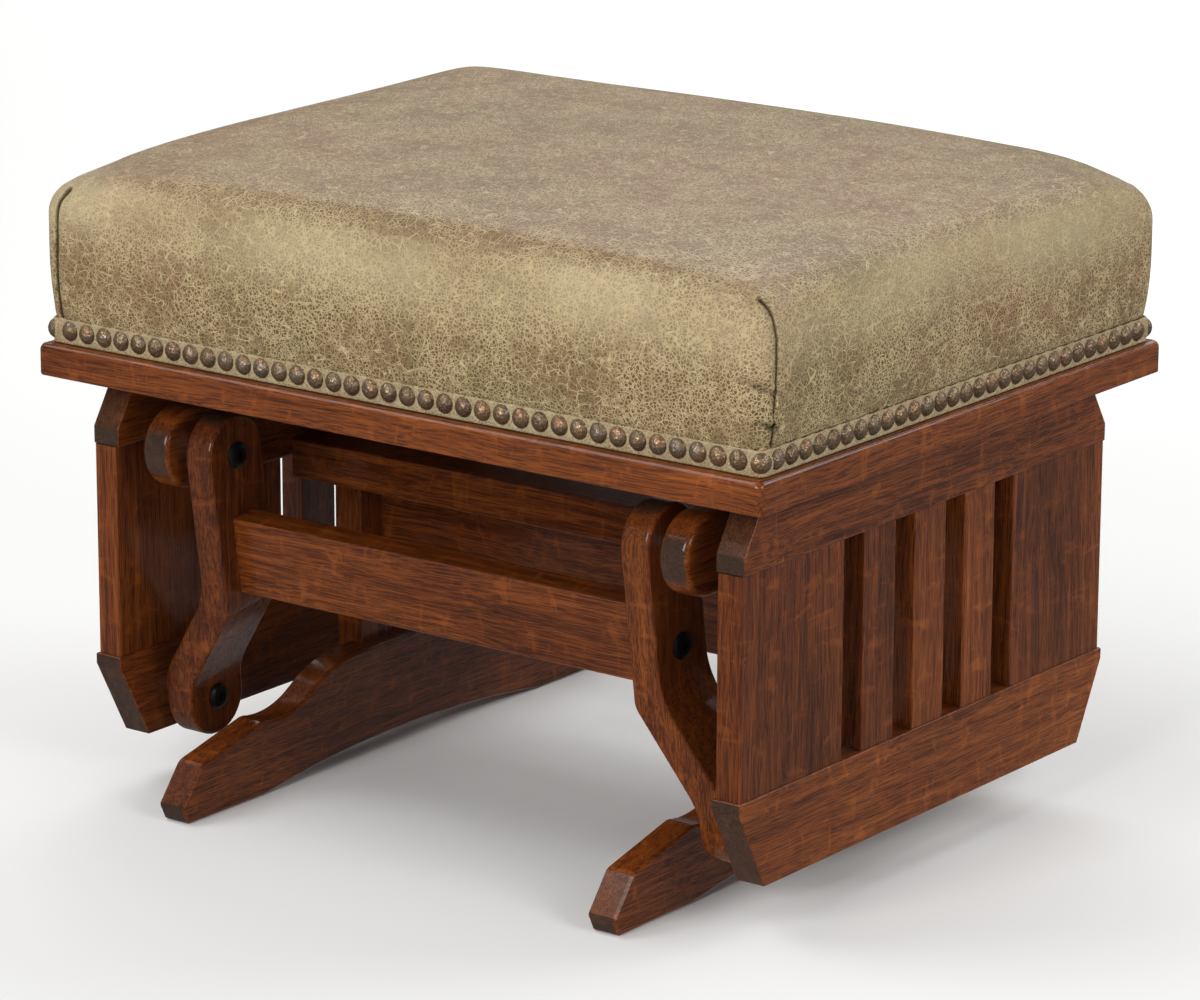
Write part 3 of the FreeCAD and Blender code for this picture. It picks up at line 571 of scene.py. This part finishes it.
def leather_net(tree, where, pebbles):
    """The pale lines: fine ones round the pebbles, and broken strokes of the long cracks."""
    fine = between(tree, pebbles, 0.02, 0.16, 1.0, 0.0)
    first, second = (between(tree, cell_edges(tree, stretched(tree, where, *crack), 1, 0.35),
                             0.0, 0.045, 1.0, 0.0) for crack in CRACKS)
    patch = cloud(tree, where, scale=26, detail=4, roughness=0.65)
    comes = between(tree, patch, 0.36, 0.60, 0.15, 0.75)
    broken = between(tree, cloud(tree, where, scale=120, detail=2), 0.36, 0.58, 0.2, 1.0)
    strokes = maths(tree, "MULTIPLY", maths(tree, "MAXIMUM", first, second), broken)
    return maths(tree, "MAXIMUM", maths(tree, "MULTIPLY", fine, comes), strokes)


def leather(name, dark, middle, net, brown, net_strength, roughness, wear_and_sheen=True):
    material, tree, shader = finish_shader(
        name, Sheen_Weight=0.03, Sheen_Roughness=0.4, Coat_Weight=0.10, Coat_Roughness=0.32,
        Specular_IOR_Level=0.14)
    where = add(tree, "TexCoord").outputs["Object"]
    pebbles = cell_edges(tree, where, PEBBLES_PER_METRE, 0.5)
    net_lines = maths(tree, "MULTIPLY", leather_net(tree, where, pebbles), net_strength)
    clouds = between(tree, cloud(tree, where, scale=7, detail=5, roughness=0.68), 0.40, 0.62)
    ground = mixed(tree, clouds, middle, brown)
    hollow = between(tree, pebbles, 0.08, 0.26)
    depth = between(tree, cloud(tree, where, scale=16, detail=4, roughness=0.6), 0.34, 0.64,
                    0.4, 1.0)
    ground = mixed(tree, maths(tree, "MULTIPLY", hollow, depth), ground, dark)
    # Painted highlight over the shoulder, a browner top and a darker foot, all by height.
    if wear_and_sheen:
        ground = painted_sheen_and_tone_by_height(tree, where, ground, dark, brown)
    colour = mixed(tree, net_lines, ground, net)
    # Painted shade: the fold_shade number on each point darkens the folds and creases.
    fold_shade = add(tree, "Attribute", attribute_name="fold_shade").outputs["Fac"]
    wire(tree, mixed(tree, fold_shade, colour, FOLD_PAINTED_SHADE), shader.inputs["Base Color"])
    wire(tree, maths(tree, "MULTIPLY_ADD", hollow, 0.08, roughness), shader.inputs["Roughness"])
    relief = maths(tree, "MULTIPLY_ADD", net_lines, -0.4, hollow)
    bumped(tree, shader, relief, PEBBLE_HEIGHT)
    return material


hide = leather("crackled_leather", paint(93, 76, 45), paint(115, 97, 64), paint(199, 181, 138),
               paint(125, 93, 66), 0.8, 0.40)
trim = leather("trim_leather", paint(138, 121, 92), paint(165, 148, 115), paint(194, 179, 142),
               paint(158, 138, 107), 0.35, 0.55, wear_and_sheen=False)
print("leathers", hide.name, trim.name)

# %% [markdown]
# ## The cushion's outline and crown
# The cushion is foam wrapped in leather and pulled down onto the deck. Seen from above it is a
# rectangle with tight corners. On top it is a low dome, and each corner is pulled down by its own
# amount, because leather is pulled by hand. Sculpting would give such a top too. A formula is
# easier to change: a dome in both directions, less one soft dip at each corner.

# %% Outline and crown
CROWN_BASE, CROWN_LONG, CROWN_SHORT = 0.4056, 0.0085, 0.0045
CROWN_HALF = (0.277, 0.215)
CORNER_PLACE = (0.278, 0.217)
# side and end of each corner, how far it is pulled down, and how far that reaches
CORNERS = ((1, 1, 0.0115, 0.040), (-1, 1, -0.0050, 0.110), (-1, -1, 0.0075, 0.070),
           (1, -1, 0.0040, 0.050))


def rounded_outline(half_x, half_y, radius, steps=10, runs=24):
    """Points of a rounded rectangle, anticlockwise from the right side's rear end."""
    points = []
    for quarter, (x, y) in enumerate(((1, 1), (-1, 1), (-1, -1), (1, -1))):
        for step in range(steps + 1):
            angle = math.radians(90) * (quarter + step / steps)
            points.append((x * (half_x - radius) + radius * math.cos(angle),
                           y * (half_y - radius) + radius * math.sin(angle)))
        next_x, next_y = ((-1, 1), (-1, -1), (1, -1), (1, 1))[quarter]
        first = Vector(points[-1])
        angle = math.radians(90) * (quarter + 1)
        last = Vector((next_x * (half_x - radius) + radius * math.cos(angle),
                       next_y * (half_y - radius) + radius * math.sin(angle)))
        points += [tuple(first.lerp(last, step / runs)) for step in range(1, runs)]
    return points


def crown(x, y):
    """Height of the leather's top: a low dome, with each corner pulled down by its own amount."""
    u, v = min(abs(x) / CROWN_HALF[0], 1), min(abs(y) / CROWN_HALF[1], 1)
    height = CROWN_BASE + CROWN_LONG * (1 - u * u) + CROWN_SHORT * (1 - v * v)
    for side, end, drop, reach in CORNERS:
        away = math.hypot(x - side * CORNER_PLACE[0], y - end * CORNER_PLACE[1])
        height -= drop * math.exp(-(away / reach) ** 2)
    return height


print("crown height in the middle", round(crown(0, 0), 4))

# %% [markdown]
# ## The cushion's form
# A box would look dead, and a rounded box still looks cut from a block. So outlines are stacked like
# the rings of a barrel: they start drawn in at the foot, where the leather goes behind the band,
# widen to the full size, stand up along the sides, turn in over a rounded shoulder, and shrink
# towards the middle of the top. The form is a little smaller than the real cushion, because it
# still gets blown up.

# %% Cushion form
CUSHION_HALF = (0.2778, 0.2167)
CUSHION_CORNER, SHOULDER = 0.015, 0.018
# how far each outline of the sides is drawn in, and its height
SIDES = ((0.0050, 0.3137), (0.0046, 0.3157), (0.0038, 0.3190), (0.0029, 0.3234),
         (0.0019, 0.3285), (0.0010, 0.3345), (0.0004, 0.3425), (0.0, 0.352), (0.0, 0.376))
TOP_RINGS = (0.97, 0.93, 0.88, 0.8, 0.7, 0.58, 0.44, 0.28, 0.1)


def tidy_object(name, mesh):
    """Turn a finished bmesh into a smooth-shaded object of the scene."""
    data = bpy.data.meshes.new(name)
    mesh.to_mesh(data)
    mesh.free()
    data.shade_smooth()
    made = bpy.data.objects.new(name, data)
    bpy.context.scene.collection.objects.link(made)
    return made


def cushion_form():
    """Stacked outlines: upright sides, a rounded shoulder and shrinking rings over the top."""
    half_x, half_y = CUSHION_HALF
    outlines = [(rounded_outline(half_x - inset, half_y - inset, CUSHION_CORNER - 1.4 * inset),
                 height, 0) for inset, height in SIDES]
    for step in range(7):
        angle = math.radians(15 * step)
        inset = SHOULDER * (1 - math.cos(angle))
        ring = rounded_outline(half_x - inset, half_y - inset, CUSHION_CORNER - 0.4 * inset)
        outlines.append((ring, None, SHOULDER * (1 - math.sin(angle))))
    inner = outlines[-1][0]
    outlines += [([(x * share, y * share) for x, y in inner], None, 0) for share in TOP_RINGS]
    mesh = bmesh.new()
    loops = [[mesh.verts.new((x, y, height or crown(x, y) - below)) for x, y in outline]
             for outline, height, below in outlines]
    for low, high in zip(loops, loops[1:]):
        for number, point in enumerate(low):
            following = (number + 1) % len(low)
            mesh.faces.new((point, low[following], high[following], high[number]))
    mesh.faces.new(loops[-1])
    mesh.faces.new(reversed(loops[0]))
    return tidy_object("cushion_leather", mesh)


def measured(piece):
    return [round(side, 4) for side in piece.dimensions]


cushion = cushion_form()
print("cushion form:", len(cushion.data.vertices), "points", measured(cushion))

# %% [markdown]
# ## Blowing the cushion up
# Foam presses the leather outwards, most in the middle of each side and least where it is held. It
# could be guessed with a formula. Cloth under pressure does it by itself: the form gets an even net
# of small faces, its underside is held where the leather is stapled to the deck, and twenty frames
# of pressure fill it. A point may only move outwards and not far, and the moves are averaged with
# their neighbours, so that the skin stays as calm as thick leather. One subdivision rounds it.

# %% Blow the cushion up
NET_SIZE = 0.005
STAPLED_BELOW = 0.3165
LARGEST_SWELL = 0.0018
PRESSURE, PRESSED_FRAMES = 4, 20
CALMING_PASSES = 12


def applied(piece):
    """Replace the mesh by what its modifiers make of it, and drop the modifiers."""
    graph = bpy.context.evaluated_depsgraph_get()
    data = bpy.data.meshes.new_from_object(piece.evaluated_get(graph))
    piece.modifiers.clear()
    piece.data = data


def evened(moves, edges, passes):
    """Average each move with those of its neighbours."""
    for _ in range(passes):
        total = [move.copy() for move in moves]
        count = [1] * len(moves)
        for first, second in edges:
            total[first] += moves[second]
            total[second] += moves[first]
            count[first] += 1
            count[second] += 1
        moves = [move / number for move, number in zip(total, count)]
    return moves


def inflate(piece):
    """Cloth under pressure, held at its underside. A point may only move outwards."""
    held = piece.vertex_groups.new(name="stapled")
    stapled = [point.index for point in piece.data.vertices if point.co.z < STAPLED_BELOW]
    held.add(stapled, 1, "ADD")
    cloth = piece.modifiers.new("leather", "CLOTH")
    cloth.settings.vertex_group_mass = held.name
    cloth.settings.use_pressure = True
    cloth.settings.uniform_pressure_force = PRESSURE
    cloth.settings.effector_weights.gravity = 0
    scene = bpy.context.scene
    for moment in range(1, PRESSED_FRAMES + 1):
        scene.frame_set(moment)
    shape = piece.evaluated_get(bpy.context.evaluated_depsgraph_get()).data
    moves = [end.co - start.co for end, start in zip(shape.vertices, piece.data.vertices)]
    piece.modifiers.clear()
    piece.vertex_groups.clear()
    scene.frame_set(1)
    outward = [point.normal.copy() for point in piece.data.vertices]
    moves = [out * max(0.0, min(LARGEST_SWELL, move.dot(out)))
             for move, out in zip(moves, outward)]
    edges = [tuple(edge.vertices) for edge in piece.data.edges]
    moves = evened(moves, edges, CALMING_PASSES)
    for point, move in zip(piece.data.vertices, moves):
        point.co += move
    return max(move.length for move in moves), sum(move.length for move in moves) / len(moves)


even_net = cushion.modifiers.new("even net", "REMESH")
even_net.mode, even_net.voxel_size = "VOXEL", NET_SIZE
applied(cushion)
print("largest and mean move", [round(size, 4) for size in inflate(cushion)])
rounder = cushion.modifiers.new("rounder", "SUBSURF")
rounder.levels = rounder.render_levels = 1
applied(cushion)
print("cushion", len(cushion.data.polygons), "faces", measured(cushion))

# %% [markdown]
# ## Tools for folds
# A fold is a line on the skin along which the leather goes up on one side and down on the other. It
# could be modelled by hand, face by face. Here a line is walked in steps of a millimetre, the skin
# is cut finer along it, and every point near it is moved by a profile that looks only at the
# point's distance beside the line and its place along the line.

# %% Fold helpers
def path_steps(points, spacing=0.001):
    """Evenly spaced places along a line, each with its direction and its share of the way."""
    points = [Vector(point) for point in points]
    lengths = [(b - a).length for a, b in zip(points, points[1:])]
    total, steps, done = sum(lengths), [], 0.0
    for first, second, length in zip(points, points[1:], lengths):
        count = max(1, round(length / spacing))
        for number in range(count):
            share = number / count
            steps.append((first.lerp(second, share), (second - first).normalized(),
                          (done + share * length) / total))
        done += length
    return steps


def nearest_step(steps):
    """A search tree over the steps of a line."""
    tree = kdtree.KDTree(len(steps))
    for index, (place, _, _) in enumerate(steps):
        tree.insert(place, index)
    tree.balance()
    return tree


def finer_along(piece, steps, reach, rounds):
    """Split the faces near a line, so that a narrow groove has points to live on."""
    mesh = bmesh.new()
    mesh.from_mesh(piece.data)
    tree = nearest_step(steps)
    for number in range(rounds):
        limit = reach * (1 - 0.35 * number)
        close = {point for point in mesh.verts if tree.find(point.co)[2] < limit}
        edges = [edge for edge in mesh.edges if edge.verts[0] in close and edge.verts[1] in close]
        bmesh.ops.subdivide_edges(mesh, edges=edges, cuts=1, use_grid_fill=True)
    mesh.to_mesh(piece.data)
    mesh.free()


def pushed(piece, steps, reach, profile):
    """Move each point near a line by profile(side, way): a lift along its normal, a slide to the
    right and how much painted shade darkens the leather. side is positive right of the line."""
    tree = nearest_step(steps)
    shade = (piece.data.attributes.get("fold_shade")
             or piece.data.attributes.new("fold_shade", "FLOAT", "POINT"))
    moves = {}
    for point in piece.data.vertices:
        place, index, distance = tree.find(point.co)
        if distance < reach:
            normal = point.normal.copy()
            across = normal.cross(steps[index][1]).normalized()
            lift, slide, dark = profile((point.co - place).dot(across), steps[index][2])
            moves[point.index] = normal * lift + across * slide
            shade.data[point.index].value = max(dark, shade.data[point.index].value)
    for index, move in moves.items():
        piece.data.vertices[index].co += move
    return len(moves)


print("fold helpers ready")

# %% [markdown]
# ## Profiles of a fold and a crease
# Leather that is pulled round a corner has material to spare, so the upholsterer folds it under
# itself. The lip of the fold stands up and reaches over, and beside it lies a narrow dark gap, which
# is widest at the top. A crease is gentler: a soft groove with a low roll of leather beside it. A
# painted line would look right only from the front, so both get a real shape, from bell curves and
# a smooth step. Each profile also gives painted shade, which darkens the gap and the groove.

# %% Fold profiles
EDGE_WIDTH, PAINTED_SHADE_WIDTH = 0.0004, 0.0005
LIP_WIDTH, LIP_HEIGHT, LIP_REACH = 0.009, 0.0010, 0.0008
GAP_WIDTH, GAP_DEPTH = 0.0022, 0.0022
OPEN_SHARE = 0.10                         # of the fold's length, over which the open top closes
GROOVE_WIDTH, GROOVE_DEPTH = 0.0016, 0.0028
ROLL_BESIDE, ROLL_WIDTH, ROLL_HEIGHT = 0.0045, 0.003, 0.0012


def fades(way, start, end):
    """1 along the middle of a line, easing to 0 over its first and last shares."""
    return min(1, way / start if start else 1) * min(1, (1 - way) / end if end else 1)


def fold(side, way):
    """A lip on the right that reaches over to the left, and a gap that is deepest under it."""
    lip = 0.5 * (1 + math.tanh(side / EDGE_WIDTH)) * math.exp(-max(side, 0) / LIP_WIDTH)
    gap = 0.5 * (1 - math.tanh(side / EDGE_WIDTH)) * math.exp(min(side, 0) / GAP_WIDTH)
    open_end = 1 + math.exp(-way / OPEN_SHARE)
    share = fades(way, 0.03, 0.0)
    # Painted shade along the gap, widest where the fold opens at the top.
    dark = 0.9 * share * math.exp(-((side + 0.0003) / (PAINTED_SHADE_WIDTH * open_end)) ** 2)
    lift = share * (LIP_HEIGHT * lip - GAP_DEPTH * open_end * gap)
    return lift, -LIP_REACH * share * lip, dark


def fold_back(side, way):
    """The same fold with its lip on the left."""
    lift, slide, dark = fold(-side, way)
    return lift, -slide, dark


def crease(side, way):
    """A soft groove with a low roll of leather beside it."""
    groove = fades(way, 0.4, 0.1) * math.exp(-(side / GROOVE_WIDTH) ** 2)
    roll = fades(way, 0.4, 0.1) * math.exp(-((side - ROLL_BESIDE) / ROLL_WIDTH) ** 2)
    # The third number is painted shade along the groove.
    return ROLL_HEIGHT * roll - GROOVE_DEPTH * groove, 0, 0.55 * groove


print("gap of the fold", round(1000 * fold(-0.001, 0.5)[0], 2), "mm, crease",
      round(1000 * crease(0, 0.5)[0], 2), "mm")

# %% [markdown]
# ## The foot of the cushion
# The leather's lowest edge is drawn down over the deck's edge and covered by the band. If it ended
# above the band, a dark gap would show between them. The form could reach down there from the
# start, but the pressure would push it out through the band. So it is drawn down afterwards, and
# eased over two and a half centimetres, which leaves no kink.

# %% Foot of the cushion
FOOT_PULL = 0.0042
FOOT_FROM, FOOT_DEPTH = 0.340, 0.0245
UNDERSIDE_HALF, UNDERSIDE_ROUND = (0.2638, 0.2027), 0.0070


def foot_drawn_down(piece):
    """Draw the lowest edge of the sides down over the deck, and leave the underside alone."""
    moved = 0
    for point in piece.data.vertices:
        beyond = math.hypot(*(max(abs(place) - half, 0)
                              for place, half in zip(point.co, UNDERSIDE_HALF)))
        share = min(1, max(0, (FOOT_FROM - point.co.z) / FOOT_DEPTH))
        if share and beyond > UNDERSIDE_ROUND:
            point.co.z -= FOOT_PULL * share * share * (3 - 2 * share)
            moved += 1
    return moved


print("foot:", foot_drawn_down(cushion), "points drawn down")

# %% [markdown]
# ## Folds at the four corners
# Each corner has one upright fold. At the right front corner its lip lies on the right, at the left
# front corner on the left, and two small creases run into the right one, which is the tighter. The
# rear corners could get lines of their own, but the same hands folded them: they take the lines of
# the front corners, turned by half a turn. The points of each line are laid on the skin first, so
# that none of them floats above it.

# %% Folds at the four corners
RIGHT_FOLD = [(0.2660, -0.2085, 0.4060), (0.2705, -0.2070, 0.4025), (0.2745, -0.2055, 0.3960),
              (0.2765, -0.2043, 0.3867), (0.2770, -0.2025, 0.3765), (0.2770, -0.2024, 0.3590),
              (0.2768, -0.2030, 0.3470), (0.2767, -0.2034, 0.3356), (0.2764, -0.2025, 0.3239),
              (0.2755, -0.2018, 0.3160), (0.2745, -0.2012, 0.3100)]
LEFT_FOLD = [(-0.2575, -0.2105, 0.4015), (-0.2600, -0.2145, 0.3945), (-0.2622, -0.2155, 0.3876),
             (-0.2634, -0.2157, 0.3798), (-0.2638, -0.2157, 0.3637), (-0.2646, -0.2155, 0.3442),
             (-0.2652, -0.2148, 0.3248), (-0.2655, -0.2135, 0.3100)]
CREASES = [[(0.2560, -0.2160, 0.3545), (0.2640, -0.2156, 0.3520), (0.2700, -0.2130, 0.3496),
            (0.2752, -0.2075, 0.3466)],
           [(0.2675, -0.2140, 0.3290), (0.2715, -0.2115, 0.3275), (0.2740, -0.2085, 0.3262)]]
FINER_REACH, FOLD_REACH, CREASE_REACH = 0.009, 0.025, 0.012


def laid_on(piece, points):
    """The points, each moved to the nearest place of the piece's skin."""
    tree = bvhtree.BVHTree.FromObject(piece, bpy.context.evaluated_depsgraph_get())
    return [tree.find_nearest(Vector(point))[0] for point in points]


def turned_round(points):
    """The same line at the opposite corner: half a turn about the upright axis."""
    return [(-x, -y, z) for x, y, z in points]


for line, profile in ((RIGHT_FOLD, fold), (LEFT_FOLD, fold_back),
                      (turned_round(RIGHT_FOLD), fold), (turned_round(LEFT_FOLD), fold_back)):
    steps = path_steps(laid_on(cushion, line))
    finer_along(cushion, steps, FINER_REACH, 3)
    moved = pushed(cushion, steps, FOLD_REACH, profile)
    print("fold of", len(steps), "mm moved", moved, "points")
for line in CREASES + [turned_round(line) for line in CREASES]:
    steps = path_steps(laid_on(cushion, line))
    print("crease moved", pushed(cushion, steps, CREASE_REACH, crease), "points")

# %% [markdown]
# ## Finishing the cushion
# The finished skin gets its leather, stands for the plain cushion of the model, and moves with the
# seat. Foam fills the real one. A block of foam inside would never show, so the skin is only
# declared as a firmly filled pad, for whoever simulates the ottoman later.

# %% Cushion finish
cushion.data.shade_smooth()
cushion.data.materials.clear()
cushion.data.materials.append(hide)
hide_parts("cushion")
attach(cushion, "seat")
print("cushion", len(cushion.data.polygons), "faces", measured(cushion))

# %% [markdown]
# ## The leather band: where it runs
# A strip of plainer leather runs around the deck under the nails, and each nail presses into it. So
# the band has to know where the nails stand. It could ask the nails' meshes, but they stand in even
# rows, and a row is one length and a count. The ring of places along the band is close enough to
# show a wave from nail to nail.

# %% Nails and ring
BAND_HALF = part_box("leather_band")[1].xy
BAND_CORNER = 0.006
LONG_PITCH, SHORT_PITCH = 0.0143, 0.0141
LONG_NAILS, SHORT_NAILS = 18, 14          # on either side of the middle nail


def nail_places():
    """Where the nails stand in plan: two long rows, two short rows and the four corners."""
    out = BAND_CORNER * (1 - math.cos(math.radians(45)))
    rows = [(LONG_PITCH * step, side * BAND_HALF.y)
            for step in range(-LONG_NAILS, LONG_NAILS + 1) for side in (-1, 1)]
    rows += [(side * BAND_HALF.x, SHORT_PITCH * step)
             for step in range(-SHORT_NAILS, SHORT_NAILS + 1) for side in (-1, 1)]
    return rows + [(x * (BAND_HALF.x - out), y * (BAND_HALF.y - out))
                   for x in (-1, 1) for y in (-1, 1)]


def band_ring(spacing):
    """Places along the band's outer face with their outward directions."""
    corners = [Vector(point) for point in rounded_outline(*BAND_HALF, BAND_CORNER, 6, 1)]
    ring = []
    for first, second in zip(corners, corners[1:] + corners[:1]):
        count = max(1, round((second - first).length / spacing))
        ring += [first.lerp(second, step / count) for step in range(count)]
    pairs = zip(ring, ring[1:] + ring[:1], ring[-1:] + ring[:-1])
    return [(place, Vector(((after - before).y, -(after - before).x)).normalized())
            for place, after, before in pairs]


nails = nail_places()
print(len(nails), "nails round a band of", [round(2 * half, 4) for half in BAND_HALF])

# %% [markdown]
# ## The leather band: its shape
# Each nail presses a round dent into the band, and its upper edge stands up between two nails, so it
# waves from nail to nail. A flat ring with a relief in its material would keep a straight edge. So
# the band is a ring of narrow cross-sections, each shaped by how near the next nail is.

# %% Leather band
BAND_FOOT, BAND_TOP, EDGE_WAVE = 0.2959, 0.3117, 0.0008
NAIL_HEIGHT = 0.3045
HALF_PITCH = 0.0071
DENT_RADIUS, DENT_EDGE, DENT_DEPTH = 0.0060, 0.0018, 0.0005
CORNER_REACH = 0.0030
FACE_STEPS = 14
RING_SPACING = 0.0009


def band_section(beside, reach_out):
    """Outward and upward places of one cross-section, at a distance beside the nearest nail.
    Under a corner nail the leather is gathered, and reaches further out to the head."""
    top = BAND_TOP + EDGE_WAVE * min(1, beside / HALF_PITCH) ** 2
    face = []
    for step in range(FACE_STEPS + 1):
        height = BAND_FOOT + 0.0005 + step / FACE_STEPS * (top - BAND_FOOT - 0.0012)
        away = math.hypot(beside, height - NAIL_HEIGHT)
        free = min(1, max(0, (away - DENT_RADIUS) / DENT_EDGE))
        free = free * free * (3 - 2 * free)
        face.append((reach_out * (1 - free) - 0.0001 + DENT_DEPTH * free, height))
    # from the hidden foot up the face, over the rounded edge and down the back
    return [(-0.0024, BAND_FOOT), (-0.0009, BAND_FOOT), *face, (0.0002, top - 0.0004),
            (-0.0003, top), (-0.0010, top - 0.0002), (-0.0014, top - 0.0014), (-0.0014, 0.3085),
            (-0.0024, 0.3075)]


def leather_band():
    tree = kdtree.KDTree(len(nails))
    for index, (x, y) in enumerate(nails):
        tree.insert((x, y, 0), index)
    tree.balance()
    mesh = bmesh.new()
    loops = []
    for place, out in band_ring(RING_SPACING):
        nail, index, beside = tree.find((place.x, place.y, 0))
        reach_out = 0
        if index >= len(nails) - 4:
            axis = Vector((math.copysign(1, nail.x), math.copysign(1, nail.y))).normalized()
            reach_out = min(CORNER_REACH, (nail.xy - place).dot(axis) / out.dot(axis))
        loops.append([mesh.verts.new((place.x + out.x * off, place.y + out.y * off, height))
                      for off, height in band_section(beside, reach_out)])
    for first, second in zip(loops, loops[1:] + loops[:1]):
        for number, point in enumerate(first):
            following = (number + 1) % len(first)
            mesh.faces.new((point, first[following], second[following], second[number]))
    bmesh.ops.recalc_face_normals(mesh, faces=mesh.faces)
    return tidy_object("leather_strip", mesh)


band = leather_band()
band.data.materials.append(trim)
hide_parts("leather_band")
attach(band, "seat")
print("band", len(band.data.polygons), "faces", measured(band))
